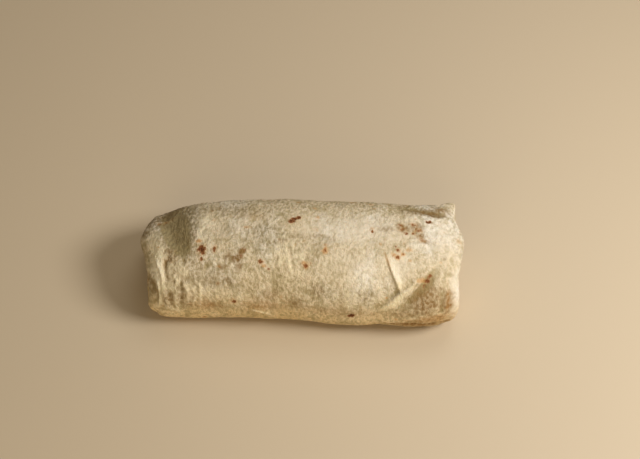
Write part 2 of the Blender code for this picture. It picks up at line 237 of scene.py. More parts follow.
# Toasted marks: x, angle, length, width (millimetres), tilt from along the roll (degrees),
# darkness, halo
MARKS = (
    (-82.4, -31, 2.4, 1.6, 0, 0.4, 0.0),
    (-78.6, -29.6, 3.0, 1.4, 0, 0.45, 0.0),
    (-75.2, -30, 2.0, 1.4, 0, 0.35, 0.0),
    (-82, -38, 1.8, 1.8, 0, 0.3, 0.0),
    (-70, -36, 2.0, 1.6, 0, 0.25, 0.0),
    (-79.4, 30, 3.0, 2.0, 60, 0.25, 0.1),
    (-55.6, 23, 6.0, 4.6, 78, 1.0, 0.5),
    (-54.6, 27, 3.4, 2.6, 78, 0.9, 0.6),
    (-57.4, 13, 2.8, 2.2, 0, 0.25, 1.0),
    (-47.8, 24, 2.2, 3.6, 0, 0.7, 0.5),
    (-55.4, 33, 2.0, 3.0, 0, 0.75, 0.3),
    (-30.0, 26, 2.6, 2.2, 0, 0.35, 0.1),
    (-31.6, 32, 3.0, 2.4, 60, 0.35, 0.1),
    (-20.3, 37.5, 2.4, 2.4, 0, 0.85, 0.8),
    (-18.4, 41, 1.8, 1.4, 0, 0.1, 0.9),
    (-15.6, 44, 1.6, 1.6, 0, 0.4, 0.2),
    (-2.9, -8.5, 4.8, 3.8, -30, 1.15, 0.2),
    (-0.6, -11, 6.0, 2.4, -30, 1.0, 0.2),
    (6.0, 39.5, 2.2, 3.0, 0, 0.7, 1.0),
    (4.6, 37.4, 1.6, 1.6, 0, 0.1, 1.0),
    (8.8, 37, 1.4, 1.6, 0, 0.45, 0.4),
    (16.9, 24, 2.2, 3.4, 0, 0.45, 1.0),
    (16.9, 18, 1.6, 1.6, 0, 0.3, 0.6),
    (44.3, -1, 1.6, 2.4, 0, 0.7, 0.3),
    (44.2, -5, 1.6, 1.6, 0, 0.25, 0.6),
    (59.0, 19.5, 2.0, 2.2, 0, 0.75, 0.7),
    (58.8, 27, 2.2, 2.2, 0, 0.55, 1.0),
    (61.6, 23.4, 1.8, 1.6, 0, 0.4, 1.0),
    (57.0, 25, 1.8, 1.8, 0, 0.25, 0.9),
    (57.8, 15.5, 1.6, 1.8, 0, 0.55, 0.1),
    (62.3, 12, 1.6, 1.6, 0, 0.35, 0.1),
    (65.0, 18.5, 2.4, 2.2, 0, 0.15, 0.7),
    (60.0, -11, 2.4, 2.0, 0, 0.45, 0.3),
    (61.2, -6, 3.0, 2.8, 30, 0.45, 0.3),
    (63.2, -1, 3.2, 2.4, 30, 0.5, 0.2),
    (67.6, -13, 3.2, 2.4, 0, 0.4, 0.4),
    (70.2, -6, 2.8, 3.6, 60, 0.4, 0.4),
    (67.2, -1, 1.8, 1.8, 0, 0.6, 0.7),
    (71.8, 6, 3.6, 2.4, 20, 0.3, 0.4),
    (75.6, -18, 3.2, 3.2, -15, 1.0, 0.2),
    (33.4, 89.5, 4.2, 4.6, 0, 1.1, 0.1),
    (-35.9, 78, 2.6, 3.4, 0, 0.8, 0.5),
    (-29.5, -0.5, 2.4, 1.6, 0, 0.35, 0.6),
    (-45.0, 58, 1.4, 1.6, 0, 0.4, 0.3),
    (75.2, 48, 3.4, 2.6, -52, 0.85, 0.2),
    (76.6, 43.5, 4.0, 2.0, -56, 0.6, 0.2),
    (74.0, 53, 4.0, 2.0, -58, 0.45, 0.1),
    (72.2, 47.6, 3.2, 2.2, 0, 0.1, 0.75),
    (93.0, 0, 1.6, 3.6, 0, 0.1, 0.4),
    (53.4, 30.5, 8.0, 1.0, 71, 0.15, 0.6),
    (-92, 56, 2.0, 5.0, 0, 0.5, 0.4),
    (-22, 86, 6.0, 1.2, -10, 0.15, 0.5),
)

# Soft patches: x, angle, length, width (millimetres), how brown, how amber, how much painted shade. The
# brown also paints shade in some creases and under the free edge.
PATCHES = (
    (-31.8, 28, 5, 7, 1.3, 0.0, 0.3),
    (-34.2, 34, 8, 6, 1.5, 0.0, 0.5),
    (-33.0, 41, 4, 7, 1.1, 0.0, 0.3),
    (-39, 55, 7, 6, 0.5, 0.0, 0.5),
    (-39.6, 33, 6, 8, 0.8, 0.0, 0.0),
    (-42.0, 42, 8, 4, 0.7, 0.0, 0.0),
    (61.5, -8, 9, 8, 1.2, 0.0, 0.0),
    (69.4, -8, 7, 10, 1.1, 0.1, 0.0),
    (-8, 17, 9, 4, 0.5, 0.0, 0.2),
    (2, 11.5, 12, 3, 0.5, 0.0, 0.1),
    (12, 8.5, 10, 3.5, 0.5, 0.0, 0.1),
    (20, 12.5, 6, 6, 0.4, 0.0, 0.0),
    (71.0, 1, 6, 7, 1.0, 0.1, 0.0),
    (52, -5, 12, 5, 0.5, 0.0, 0.0),
    (74, 8, 7, 4, 1.0, 0.0, 0.0),
    # painted shade, in brown, in the crease of the folded back corner on the right (these four rows)
    (75, -34, 24, 9, 1.0, 0.0, 0.5),
    (84, -42, 12, 9, 0.9, 0.1, 0.1),
    (78, -29, 9, 4, 1.4, 0.0, 0.0),
    (62, -45, 18, 4, 0.5, 0.0, 0.0),
    (-79, -32, 17, 7, 0.8, 0.0, 0.4),
    (-93.5, 8, 5, 30, 0.4, 0.0, 0.8),
    (-85, -36, 10, 12, 0.7, 0.0, 0.5),
    (-89, -20, 7, 10, 0.5, 0.0, 0.5),
    (-82, 4, 5, 8, 0.4, 0.0, 0.0),
    (-76, 22, 8, 8, 0.7, 0.0, 0.1),
    (-52, 84, 18, 10, 0.5, 0.5, 0.0),
    (-20, 84, 26, 12, 0.25, 0.45, 0.0),
    (24, 86, 50, 8, 0.25, 0.15, 0.0),
    (89.4, 70, 6, 20, 1.3, 0.5, 0.0),
    (82, 90, 22, 8, 0.7, 0.7, 0.0),
    # painted shade, in brown, under the free edge
    (74, 104, 50, 7, 1.2, 0.3, 0.0),
    (76, 68, 20, 24, 0.95, 0.15, 0.0),
    (80, 94, 30, 5, 0.7, 0.6, 0.0),
    (66, 84, 22, 8, 0.45, 0.1, 0.1),
    (-79, 36, 3, 12, 0.9, 0.1, 0.0),
    (-70, 66, 8, 18, 0.35, 0.0, 0.3),
    (-47, 54, 22, 14, 0.3, 0.0, 0.3),
    (-24, -14, 12, 7, 0.35, 0.1, 0.0),
    (-52, -30, 20, 9, 0.3, 0.0, 0.2),
    (-14, 69, 12, 8, 0.5, 0.15, 0.0),
    (0, 78, 14, 8, 0.45, 0.1, 0.0),
    (14, 62, 10, 10, 0.4, 0.0, 0.3),
    (40, 66, 8, 12, 0.35, 0.0, 0.3),
    (84, 26, 4, 4, 0.35, 0.0, 0.1),
    # painted shade on the sunk facet at the upper left, which faces away from the light (this row and
    # the next)
    (-71, -16, 26, 52, 0.15, 0.0, 0.75),
    (-78, -50, 26, 18, 0.6, 0.0, 0.6),
    (-89, 62, 7, 26, 0.5, 0.0, 0.6),
    (-63, 46, 20, 24, 0.3, 0.0, 0.1),
    (-75, 30, 9, 9, 0.9, 0.0, 0.0),
    (-75, 50, 9, 24, 0.35, 0.0, 0.1),
    (-77, 74, 9, 16, 0.9, 0.0, 0.1),
    (-67, 72, 14, 18, 0.7, 0.0, 0.1),
    (-20, 12, 26, 22, 0.1, 0.0, 0.35),
    (-32, -22, 30, 12, 0.2, 0.0, 0.25),
    (4, 22, 30, 24, 0.1, 0.0, 0.2),
    (-40, -140, 60, 50, 0.2, 0.2, 0.2),
    (30, -120, 30, 30, 0.2, 0.3, 0.2),
)

# Places painted paler: painted light where the light falls on the top and on the right end, and a paler
# place on the back: x, angle, length, width (millimetres), how pale
PAINTED_LIGHT_PLACES = (
    (36, -3, 78, 34, 0.7),
    (82, 8, 34, 56, 0.55),
    (60, 34, 22, 22, 0.6),
    (38, 36, 60, 34, 0.5),
    (-40, -2, 40, 20, 0.35),
    (-84, 42, 8, 26, 0.4),
    (94, 70, 8, 60, 1.0),
    (20, -120, 120, 50, 0.5),
)


# ---------------------------------------------------------------- how they are painted
SCATTERED = 90                  # small marks added by chance over the whole roll
SCATTER_SEED = 5
SEEN_ANGLES = (-45.0, 100.0)    # the photo shows the roll between these angles
BLISTER_HEIGHT = 0.16 * MM      # a mark's raised rim, round a sunk middle
BLISTER_RIM = (1.15, 0.4)       # where that rim is, and its width
BLISTER_MIDDLE = (1.3, 0.8)     # how deep that middle is beside the rim, and its width

# How a spot fades: the distances from its middle where it is gone and where it is whole,
# with its outline at 1, and then how ragged its edge is
TOAST_EDGE = (1.45, 0.35)
TOAST_RAGGEDNESS = 0.45
HALO_EDGE = (2.1, 0.8)
HALO_RAGGEDNESS = 0.5
PATCH_EDGE = (1.5, 0.2)
PATCH_RAGGEDNESS = 0.35
PAINTED_SHADE_EDGE = (1.3, 0.6)
PAINTED_SHADE_RAGGEDNESS = 0.12
PAINTED_LIGHT_EDGE = (1.6, 0.1)
PAINTED_LIGHT_RAGGEDNESS = 0.3
GATHER_EDGE = (1.5, 0.5)
PATCH_AMBER = 0.7               # how strong the amber of a patch is beside that of a halo

CREST_FOLDS = 0.45              # how much the folds count as crests, beside the fine relief, in the painted shade and highlight
LOW_FRONT = (60.0, 105.0)       # degrees where the painted warm shade of the lower band of the front begins, and is whole
UNDERSIDE = (140.0, 175.0)      # and where it ends under the roll
EDGE_SHADE = 1.2                  # how dark the painted shade under the free edge is, where it shows
EDGE_SHADE_START = (45 * MM, 62 * MM)     # along X


# ---------------------------------------------------------------- numbers
def smooth(edge_0, edge_1, value):
    """0 below edge_0, 1 above edge_1, and an S between them. The edges may be reversed."""
    t = np.clip((value - edge_0) / (edge_1 - edge_0), 0.0, 1.0)
    return t * t * (3.0 - 2.0 * t)


def bell(value, width):
    """1 at a value of 0, falling to about a third at that width to either side."""
    return np.exp(-(value / width) ** 2)


def half_turn(degrees):
    """The same angle between -180 and 180."""
    return (degrees + 180.0) % 360.0 - 180.0


GRADIENT_RANDOM = np.random.default_rng(11)
GRADIENTS = GRADIENT_RANDOM.normal(size=(64, 3))
GRADIENTS /= np.linalg.norm(GRADIENTS, axis=1)[:, None]
SHUFFLE = GRADIENT_RANDOM.permutation(1024)
NOISE_GAIN = 1.6                # brings the noise to about -1 .. 1


def noise(points, seed):
    """Smooth noise of about -1 .. 1 at points (..., 3), with one bump to a unit."""
    cell = np.floor(points).astype(np.int64)
    part = points - cell
    blend = part ** 3 * (part * (part * 6.0 - 15.0) + 10.0)
    total = np.zeros(points.shape[:-1])
    for corner in itertools.product((0, 1), repeat=3):
        near = cell + np.array(corner)
        key = SHUFFLE[(near[..., 0] + 131 * seed) & 1023]
        key = SHUFFLE[(near[..., 1] + key) & 1023]
        key = SHUFFLE[(near[..., 2] + key) & 1023] & 63
        slope = (GRADIENTS[key] * (part - corner)).sum(axis=-1)
        weight = np.where(np.array(corner) == 1, blend, 1.0 - blend).prod(axis=-1)
        total += weight * slope
    return NOISE_GAIN * total


# ---------------------------------------------------------------- shape of the roll
def blended(column, x):
    """One value of SECTIONS at the places x, with its corners rounded off."""
    places = [row[0] for row in SECTIONS]
    values = [row[column] for row in SECTIONS]
    offsets = np.linspace(-1.0, 1.0, 9)
    weights = np.cos(offsets * math.pi / 2.2)
    total = sum(weight * np.interp(x + offset * SECTION_BLEND, places, values)
                for offset, weight in zip(offsets, weights))
    return total / weights.sum()


def lip_angle(x):
    """Where the free edge lies, in degrees."""
    rightward = smooth(*LIP_TO_RIGHT, x)
    leftward = smooth(*LIP_TO_LEFT, -x)
    return LIP_MIDDLE + (LIP_RIGHT - LIP_MIDDLE) * rightward + (LIP_LEFT - LIP_MIDDLE) * leftward


def profile(count):
    """Rings from the left tip to the right one: place along X, and scale 1 .. 0."""
    t = np.linspace(-math.pi / 2, math.pi / 2, SPACING_SAMPLES)
    along, inward = np.abs(np.sin(t)), np.cos(t)
    reach = np.where(t < 0.0, LEFT_REACH, RIGHT_REACH)
    radius = (along ** END_POWER + inward ** END_POWER) ** (-1.0 / END_POWER)
    x = np.sign(t) * along * radius * reach
    scale = inward * radius
    middle_half_width = SECTIONS[len(SECTIONS) // 2][1]
    steps = np.hypot(np.diff(x), np.diff(scale) * middle_half_width)
    nearness = 1.0 + LEFT_CLOSENESS * smooth(*LEFT_CLOSE_START, -x / reach)
    nearness -= END_FACE_THINNING * smooth(*END_FACE_SCALES, scale)
    nearness += PLEAT_CLOSENESS * smooth(*PLEAT_START, x) * (1.0 - smooth(*PLEAT_END, x))
    length = np.concatenate([[0.0], np.cumsum(steps * nearness[1:])])
    wanted = np.linspace(0.0, length[-1], count + 2)[1:-1]
    return np.interp(wanted, length, x), np.interp(wanted, length, scale)


def turns(count):
    """Columns once round from the free edge, as shares of a turn, closer together near it."""
    t = np.linspace(0.0, 1.0, TURN_SAMPLES)
    closeness = 1.0 + LIP_CLOSENESS * bell(t, LIP_CLOSE_SHARE)
    closeness += LIP_CLOSENESS * bell(1.0 - t, LIP_CLOSE_SHARE)
    closeness += FRONT_CLOSENESS * smooth(*FRONT_START, t)
    length = np.concatenate([[0.0], np.cumsum(closeness[1:])])
    return np.interp(np.linspace(0.0, length[-1], count), length, t)


def section_radius(x, angle):
    """Distance from a section's middle to its outline, before folds and layers."""
    half_width, height = blended(1, x), blended(2, x)
    across, upward = np.abs(np.sin(angle)), np.cos(angle)
    above = upward >= 0.0
    reach = np.where(above, (1.0 - WIDEST) * height, WIDEST * height + SAG)
    power = np.where(above, TOP_POWER, BASE_POWER)
    total = (across / half_width) ** power + (np.abs(upward) / reach) ** power
    return total ** (-1.0 / power)


def end_relief(x, scale, radius, turn):
    """How far an end face is sunk at a point: hems, pulled-in middle and tucks."""
    inset = radius * (1.0 - scale)
    end = np.sign(x)
    sunk = POUCH_DEPTH * smooth(*POUCH_INSET, inset)
    for lap in range(math.ceil(TURNS_SEEN)):
        gone = lap + turn
        seen = 1.0 - smooth(TURNS_SEEN - SPIRAL_FADE, TURNS_SEEN, gone)
        started = smooth(0.0, SPIRAL_START, gone)
        # two waves, one of them different at each end, make the spiral uneven
        wander = 0.10 * np.sin(9.0 * gone + end) + 0.06 * np.sin(23.0 * gone)
        line = HEM * (gone + wander)
        sunk = sunk + GROOVE_DEPTH * seen * started * bell(inset - line, GROOVE_WIDTH)
    # three waves round the end, so that no two tucks are alike
    around = 2.0 * math.pi * turn + end
    tucks = 0.5 + 0.3 * np.cos(5.0 * around) + 0.2 * np.cos(8.0 * around + 2.0)
    tucks += 0.25 * np.cos(17.0 * around + 6.0 * scale)
    ring = smooth(*TUCK_INSET, inset) * smooth(*TIP_SCALES, scale)
    return sunk + TUCK_DEPTH * tucks * ring


def bulge(x, degrees):
    """How much further an end reaches toward that side, in metres."""
    wrapped = half_turn(degrees)
    total = np.zeros(np.broadcast(x, degrees).shape)
    for sign, reach, table in ((-1.0, LEFT_REACH, LEFT_BULGE), (1.0, RIGHT_REACH, RIGHT_BULGE)):
        angles, sizes = zip(*table)
        rounded = sum(np.interp(half_turn(wrapped + offset), angles, sizes)
                      for offset in BULGE_BLEND) / len(BULGE_BLEND)
        total = total + rounded * MM * smooth(reach - BULGE_REACH, reach, sign * x)
    return total


def smooth_roll():
    """The roll without its small folds: grids of points, x, angle, scale and turn."""
    ring_x, ring_scale = profile(RINGS)
    turn = turns(COLUMNS)[None, :]
    x, scale = ring_x[:, None], ring_scale[:, None]
    degrees = lip_angle(x) + 360.0 * turn
    angle = np.radians(degrees)
    wrapped = half_turn(degrees)

    thicker = LEFT_THICKENING * smooth(*THICK_START, -x)
    thinner = RIGHT_THINNING * smooth(*THIN_START, x)
    thickness = LAYER * (1.0 + thicker - thinner)
    ear = bell(wrapped - EAR_ANGLE, EAR_SPREAD)
    radius = section_radius(x, angle)
    radius = radius - thickness * (1.0 - turn) ** WRAP_POWER
    radius = radius + EAR_HEIGHT * ear * smooth(EAR_START, EAR_TOP, x)
    radius = radius - LIP_NOTCH * bell(turn, LIP_NOTCH_SHARE) * smooth(*NOTCH_SCALES, scale)
    radius = radius - 0.5 * LAYER * bell(1.0 - turn, LIP_ROUNDING_SHARE)

    height, shift = blended(2, x), blended(3, x)
    out = radius * scale ** (1.0 - EAR_SHARPNESS * ear * (x > 0.0))
    y = shift - out * np.sin(angle)
    z = WIDEST * height + out * np.cos(angle)
    inward = end_relief(x, scale, radius, turn) * (1.0 - smooth(*RIM_SCALES, scale))
    near_end = smooth(*LEAN_START, np.abs(x) / RIGHT_REACH)
    slant, rise = -LEFT_SLANT * (y - shift), RIGHT_LEAN * (z - WIDEST * height)
    lean = np.where(x < 0.0, slant, rise) * near_end
    along = x + np.sign(x) * (bulge(x, degrees) - inward) + lean
    points = np.stack([along, y, z], axis=-1)
    grid = wrapped.shape
    return points, np.broadcast_to(x, grid), wrapped, np.broadcast_to(scale, grid), turn


def outward(points):
    """Unit normals of the grid, pointing out of the roll."""
    along = np.gradient(points, axis=0)
    around = np.gradient(points, axis=1)
    normal = np.cross(along, around)
    normal /= np.linalg.norm(normal, axis=-1, keepdims=True) + 1e-12
    middle = points.mean(axis=1, keepdims=True)
    sign = np.sign(np.median(((points - middle) * normal).sum(axis=-1)))
    return normal * sign


# ---------------------------------------------------------------- making the relief
def crease_height(x, degrees, path, left, right):
    """Height of one crease at (x, degrees), in metres: a bell across its path."""
    across = degrees * GIRTH
    nearest = np.full(x.shape, np.inf)
    side = np.zeros(x.shape)
    height = np.zeros(x.shape)
    for start, end in zip(path, path[1:]):
        run_x, run_round = end[0] - start[0], (end[1] - start[1]) * GIRTH
        length = math.hypot(run_x, run_round)
        from_x, from_round = x / MM - start[0], across - start[1] * GIRTH
        share = np.clip((from_x * run_x + from_round * run_round) / length ** 2, 0.0, 1.0)
        gap_x, gap_round = from_x - share * run_x, from_round - share * run_round
        gap = np.hypot(gap_x, gap_round)
        closer = gap < nearest
        nearest = np.where(closer, gap, nearest)
        side = np.where(closer, from_x * run_round - from_round * run_x, side)
        height = np.where(closer, start[2] + share * (end[2] - start[2]), height)
    width = np.where(side < 0.0, left, right)
    return height * MM * bell(nearest, width)


def folds(x, degrees):
    """The height of all creases together, in metres."""
    total = np.zeros(x.shape)
    for path, left, right in CREASES:
        total += crease_height(x, degrees, path, left, right)
    return total


def stretched(points, along, around):
    """Points scaled so that one unit of noise is that many millimetres along and round."""
    return points / MM / np.array([along, around, around])


def bumps(points, along, around, seed):
    """Noise with one bump to that many millimetres along and round the roll."""
    return noise(stretched(points, along, around), seed)


def crinkles(points, along, around, seed):
    """Short ridges that run round the roll: 1 on a crest, and lower between crests."""
    wide = CRINKLE_BEND_SIZE * along
    shifts = [bumps(points, wide, wide, seed + k) for k in (1, 2, 3)]
    bend = CRINKLE_BEND * np.stack(shifts, axis=-1)
    return 1.0 - CRINKLE_DEPTH * np.abs(noise(stretched(points, along, around) + bend, seed))


def layers(kind, points, rows):
    """Several sizes of crinkles or bumps together, each times its height."""
    return sum(height * kind(points, along, around, seed) for height, along, around, seed in rows)


def crepe(points):
    """The fine leathery relief all over, in metres."""
    strength = CREPE_STRENGTH + CREPE_VARIATION * bumps(points, CREPE_PATCH, CREPE_PATCH, 34)
    return MM * strength * (layers(crinkles, points, CREPE_RIDGES) + layers(bumps, points, CREPE_BUMPS))


def gathers(points, x, degrees):
    """The crinkles where the tortilla is gathered, in metres."""
    strength = np.zeros(x.shape)
    for *spot, amount in GATHERS:
        away = spot_distance(x, degrees, *spot)
        strength = np.maximum(strength, amount * smooth(*GATHER_EDGE, away))
    return MM * strength * layers(crinkles, points, GATHER_RIDGES)


def lumps(points):
    """The filling under the tortilla, in metres."""
    return MM * layers(bumps, points, FILLING_LUMPS)


# ---------------------------------------------------------------- making the marks
def extra_marks(count, seed):
    """Small marks over the whole roll, larger and darker on the side that the photo hides."""
    random = np.random.default_rng(seed)
    marks = []
    for _ in range(count):
        angle = random.uniform(-180.0, 180.0)
        x = random.uniform(-90.0, 92.0)
        size = random.uniform(0.8, 1.6)
        hidden = not SEEN_ANGLES[0] < angle < SEEN_ANGLES[1]
        if hidden:
            size *= random.uniform(1.0, 2.0)
        dark = random.uniform(0.15, 0.5) * (1.6 if hidden else 0.7)
        length = size * random.uniform(1.0, 1.6)
        tilt = random.uniform(0, 180)
        halo = random.uniform(0.1, 0.8)
        marks.append((x, angle, length, size, tilt, dark, halo))
    return tuple(marks)


def spot_distance(x, degrees, place_x, place_angle, length, width, tilt=0.0):
    """Distance from a spot's middle, where 1 is its outline."""
    from_x, from_round = x / MM - place_x, half_turn(degrees - place_angle) * GIRTH
    cosine, sine = math.cos(math.radians(tilt)), math.sin(math.radians(tilt))
    forward = (from_x * cosine + from_round * sine) / (0.5 * length)
    sideways = (from_round * cosine - from_x * sine) / (0.5 * width)
    return np.hypot(forward, sideways)


def paint_marks(points, x, degrees):
    """Masks for the colours of the skin, among them the painted shade and the painted light, and the
    relief of the blisters.
    """
    toast, amber, tan_and_shade, painted_shade, painted_light = (np.zeros(x.shape) for _ in range(5))
    relief = np.zeros(x.shape)
    ragged = bumps(points, 1.5, 1.5, 51) + 0.7 * bumps(points, 3, 3, 52)
    # a spot is its x, angle, length and width
    for *spot, tilt, dark, halo in MARKS + extra_marks(SCATTERED, SCATTER_SEED):
        away = spot_distance(x, degrees, *spot, tilt)
        toast = np.maximum(toast, dark * smooth(*TOAST_EDGE, away + TOAST_RAGGEDNESS * ragged))
        amber = np.maximum(amber, halo * smooth(*HALO_EDGE, away + HALO_RAGGEDNESS * ragged))
        rim = bell(away - BLISTER_RIM[0], BLISTER_RIM[1])
        hollow = BLISTER_MIDDLE[0] * bell(away, BLISTER_MIDDLE[1])
        relief += BLISTER_HEIGHT * dark * (rim - hollow)
    patchy = bumps(points, 3, 3, 53) + 0.7 * bumps(points, 1.4, 1.4, 54)
    for *spot, brown, gold, shade_amount in PATCHES:
        away = spot_distance(x, degrees, *spot)
        cover = smooth(*PATCH_EDGE, away + PATCH_RAGGEDNESS * patchy)
        # the brown of the patches, which in some creases is painted shade
        tan_and_shade = np.maximum(tan_and_shade, brown * cover)
        amber = np.maximum(amber, gold * PATCH_AMBER * cover)
        # painted shade where the patch lies in shade
        painted_shade = np.maximum(painted_shade, shade_amount * smooth(*PAINTED_SHADE_EDGE, away + PAINTED_SHADE_RAGGEDNESS * patchy))
    # painted light: paler where the light falls on the roll
    for *spot, amount in PAINTED_LIGHT_PLACES:
        away = spot_distance(x, degrees, *spot)
        painted_light = np.maximum(painted_light, amount * smooth(*PAINTED_LIGHT_EDGE, away + PAINTED_LIGHT_RAGGEDNESS * patchy))
    return {"toast": toast, "amber": amber, "tan_and_shade": tan_and_shade, "painted_shade": painted_shade, "painted_light": painted_light}, relief


# ---------------------------------------------------------------- the piece
def centred(points):
    """The points moved so that their middle is over the middle of the CAD model."""
    span_low, span_high = points.min(axis=(0, 1)), points.max(axis=(0, 1))
    points = points - np.array([(span_low + span_high)[0] / 2, (span_low + span_high)[1] / 2, 0.0])
    return points + np.array([MIDDLE.x, MIDDLE.y, 0.0])


def rested(points):
    """The points set on the floor, with the underside eased flat."""
    rise = points[..., 2]
    eased = SOLE_ROUNDING * MM * np.exp(np.minimum(rise / MM / SOLE_ROUNDING - 1.0, 0.0))
    points[..., 2] = np.where(rise > SOLE_ROUNDING * MM, rise, eased)
    points[..., 2] -= points[..., 2].min()
    return points


def closed_mesh(points):
    """One closed mesh: the grid of points, with a point in the middle of each end."""
    rings, columns = points.shape[:2]
    tips = np.stack([points[0].mean(axis=0), points[-1].mean(axis=0)])
    vertices = np.concatenate([points.reshape(-1, 3), tips])
    ring, column = np.meshgrid(np.arange(rings - 1), np.arange(columns), indexing="ij")
    beside = (column + 1) % columns
    quads = np.stack([ring * columns + column, ring * columns + beside,
                      (ring + 1) * columns + beside, (ring + 1) * columns + column], axis=-1)
    faces = quads.reshape(-1, 4).tolist()
    last = (rings - 1) * columns
    left_tip, right_tip = rings * columns, rings * columns + 1
    for k in range(columns):
        after = (k + 1) % columns
        faces.append((after, k, left_tip))
        faces.append((last + k, last + after, right_tip))
    mesh = bpy.data.meshes.new("tortilla")
    mesh.from_pydata(vertices.tolist(), [], faces)
    mesh.validate()
    return mesh


def add_mask(mesh, name, grid):
    """Store a grid of values, and their mean at each tip, for the material to read."""
    values = np.concatenate([grid.ravel(), [grid[0].mean(), grid[-1].mean()]])
    layer = mesh.attributes.new(name, "FLOAT", "POINT")
    layer.data.foreach_set("value", values.astype(np.float32))


def build_tortilla():
    """The whole burrito as one object, with the masks for its colours."""
    points, x, degrees, scale, turn = smooth_roll()
    points = centred(points)
    normals = outward(points)

    body = smooth(*BODY_SCALES, scale)
    fold = folds(x, degrees) * body
    masks, blisters = paint_marks(points, x, degrees)
    even = 1.0 - PAINTED_LIGHT_SMOOTHING * masks["painted_light"]
    fine = crepe(points) * even + gathers(points, x, degrees) * body
    height = fold + lumps(points) + fine + blisters * body
    mesh = closed_mesh(rested(points + normals * height[..., None]))

    # the height of the relief, for the painted shade in its valleys and the painted highlight on its
    # crests
    masks["crest"] = np.clip(0.5 + (fine + CREST_FOLDS * fold) / MM, 0.0, 1.0)
    # painted warm shade on the lower band of the front, which turns down from the lights
    masks["low_front_shade"] = smooth(*LOW_FRONT, degrees) * (1.0 - smooth(*UNDERSIDE, np.abs(degrees)))
    # painted shade in the crease under the free edge, in brown
    edge_shade = EDGE_SHADE * bell(turn, LIP_NOTCH_SHARE) * smooth(*EDGE_SHADE_START, x)
    masks["tan_and_shade"] = np.maximum(masks["tan_and_shade"], edge_shade)
    for name, values in masks.items():
        add_mask(mesh, name, values)

    edit = bmesh.new()
    edit.from_mesh(mesh)
    bmesh.ops.recalc_face_normals(edit, faces=edit.faces)
    edit.to_mesh(mesh)
    edit.free()
    mesh.polygons.foreach_set("use_smooth", [True] * len(mesh.polygons))
    piece = bpy.data.objects.new("tortilla", mesh)
    bpy.context.scene.collection.objects.link(piece)
    return piece


# ---------------------------------------------------------------- material
class Nodes:
    """Short ways to make and join shader nodes in one material."""

    def __init__(self, name):
        self.material = bpy.data.materials.new(name)
        self.material.use_nodes = True
        self.tree = self.material.node_tree
        self.shader = self.tree.nodes["Principled BSDF"]

    def add(self, kind, **settings):
        node = self.tree.nodes.new(kind)
        for key, value in settings.items():
            if key in node.inputs:
                node.inputs[key].default_value = value
            else:
                setattr(node, key, value)
        return node

    def link(self, source, target):
        self.tree.links.new(source, target)

    def feed(self, socket, value):
        """Set a socket to a number or a colour, or join another node's output to it."""
        if isinstance(value, tuple):
            socket.default_value = (*value, 1.0)
        elif isinstance(value, (int, float)):
            socket.default_value = value
        else:
            self.link(value, socket)

    def mask(self, name):
        return self.add("ShaderNodeAttribute", attribute_name=name).outputs["Fac"]

    def texture(self, scale, detail, stretch, distortion=0.0):
        """Noise over the object; a stretch below 1 draws it out along that axis."""
        coordinates = self.add("ShaderNodeTexCoord").outputs["Object"]
        mapping = self.add("ShaderNodeMapping", Scale=stretch)
        self.link(coordinates, mapping.inputs["Vector"])
        made = self.add("ShaderNodeTexNoise", Scale=scale, Detail=detail, Distortion=distortion)
        self.link(mapping.outputs["Vector"], made.inputs["Vector"])
        return made.outputs["Fac"]

    def ramp(self, source, start, end, low=0.0, high=1.0):
        """An S from low, where the source is at start, to high, where it is at end."""
        made = self.add("ShaderNodeMapRange", interpolation_type="SMOOTHSTEP")
        for key, value in (("From Min", start), ("From Max", end), ("To Min", low), ("To Max", high)):
            made.inputs[key].default_value = value
        self.link(source, made.inputs["Value"])
        return made.outputs["Result"]

    def math(self, operation, first, second):
        made = self.add("ShaderNodeMath", operation=operation)
        self.feed(made.inputs[0], first)
        self.feed(made.inputs[1], second)
        return made.outputs[0]

    def mix(self, factor, first, second):
        """The first colour, covered with the second by that factor."""
        made = self.add("ShaderNodeMix", data_type="RGBA")
        colour_a, colour_b, colour_out = made.inputs[6], made.inputs[7], made.outputs[2]
        self.feed(made.inputs["Factor"], factor)
        self.feed(colour_a, first)
        self.feed(colour_b, second)
        return colour_out


# Colours of the tortilla
CREAM = (0.64, 0.525, 0.35)         # the dough
PALE_AND_LIT = (0.84, 0.775, 0.655)         # its palest places, and the painted light where the light falls
CREST_HIGHLIGHT = (0.82, 0.71, 0.48)          # painted highlight on the tops of the crinkles
OLIVE = (0.29, 0.222, 0.090)        # painted shade in the valleys between them, and the mottling
PAINTED_SHADE_COLOUR = (0.25, 0.20, 0.105)          # painted shade, darkest on the sunk facet at the upper left
TAN_AND_SHADE = (0.23, 0.135, 0.045)          # browned patches, and painted shade in some creases and under the free edge
WARM_SHADE_GOLD = (0.80, 0.575, 0.265)         # painted warm shade on the lower band of the front, which turns down from the lights
AMBER = (0.53, 0.27, 0.085)         # round the toasted marks
BROWN = (0.235, 0.090, 0.026)       # the toasted marks
BLACK_BROWN = (0.10, 0.030, 0.006)  # their darkest middles

# Textures: scale, detail, stretch along each axis and distortion
BROAD = (45.0, 3.0, (1.0, 0.6, 0.6))
CLOUD = (170.0, 4.0, (1.0, 0.7, 0.7), 0.8)
CRINKLE = (560.0, 2.0, (1.0, 0.7, 0.7))
GRAIN = (1250.0, 1.5, (1.0, 0.8, 0.8))

